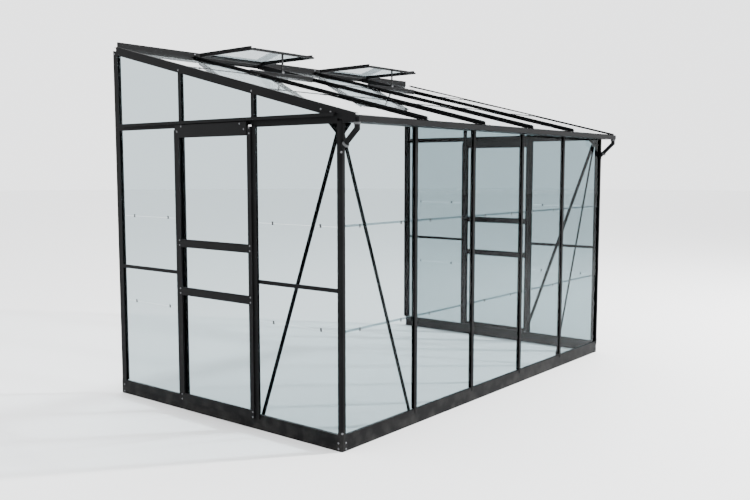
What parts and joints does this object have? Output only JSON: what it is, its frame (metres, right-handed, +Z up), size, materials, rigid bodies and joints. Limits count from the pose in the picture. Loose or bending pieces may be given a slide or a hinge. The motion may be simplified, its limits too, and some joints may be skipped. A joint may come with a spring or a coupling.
{
  "type": "lean-to greenhouse",
  "caption": "Lean-to garden greenhouse: glazed front, gables and single-pitch roof on black glazing bars, a sliding door in each gable and propped roof vents.",
  "frame": {"origin": "ground level, middle of the footprint", "axes": "+X along the house wall, +Y towards the house wall, +Z up"},
  "size_m": [3.245, 2.061, 2.3028],
  "materials": {
    "frame_coating": "satin black powder coating",
    "door_coating": "satin black powder coating",
    "glass": "clear toughened glass"
  },
  "bodies": {
    "frame": {"base_front": "frame_coating", "base_left": "frame_coating", "base_right": "frame_coating", "brace_front_left": "frame_coating", "brace_front_right": "frame_coating", "brace_gable_left": "frame_coating", "brace_gable_right": "frame_coating", "corner_post_left": "frame_coating", "corner_post_right": "frame_coating", "eaves_gutter": "frame_coating", "front_bar_1": "frame_coating", "front_bar_2": "frame_coating", "front_bar_3": "frame_coating", "front_bar_4": "frame_coating", "front_glass_1": "glass", "front_glass_2": "glass", "front_glass_3": "glass", "front_glass_4": "glass", "front_glass_5": "glass", "gable_bar_left_front": "frame_coating", "gable_bar_left_rear": "frame_coating", "gable_bar_right_front": "frame_coating", "gable_bar_right_rear": "frame_coating", "gable_glass_left_front": "glass", "gable_glass_left_middle": "glass", "gable_glass_left_rear": "glass", "gable_glass_right_front": "glass", "gable_glass_right_middle": "glass", "gable_glass_right_rear": "glass", "gable_rail_left": "frame_coating", "gable_rail_right": "frame_coating", "gutter_outlet_left": "frame_coating", "gutter_outlet_right": "frame_coating", "muntin_left_front": "frame_coating", "muntin_left_rear": "frame_coating", "muntin_right_front": "frame_coating", "muntin_right_rear": "frame_coating", "rafter_left": "frame_coating", "rafter_right": "frame_coating", "ridge_bar": "frame_coating", "roof_bar_1": "frame_coating", "roof_bar_2": "frame_coating", "roof_bar_3": "frame_coating", "roof_bar_4": "frame_coating", "roof_glass_1": "glass", "roof_glass_2": "glass", "roof_glass_3": "glass", "roof_glass_4": "glass", "roof_glass_5": "glass", "roof_vent_1": "frame_coating", "roof_vent_1_glass": "glass", "roof_vent_2": "frame_coating", "roof_vent_2_glass": "glass", "wall_post_left": "frame_coating", "wall_post_right": "frame_coating"},
    "door_left": {"door_left_frame": "door_coating", "door_left_glass": "glass"},
    "door_right": {"door_right_frame": "door_coating", "door_right_glass": "glass"}
  },
  "joints": [
    {"name": "door_left_slide", "type": "slide", "parent": "frame", "child": "door_left", "axis": [0, -1, 0], "range_m": [0, 0.58]},
    {"name": "door_right_slide", "type": "slide", "parent": "frame", "child": "door_right", "axis": [0, -1, 0], "range_m": [0, 0.58]}
  ]
}
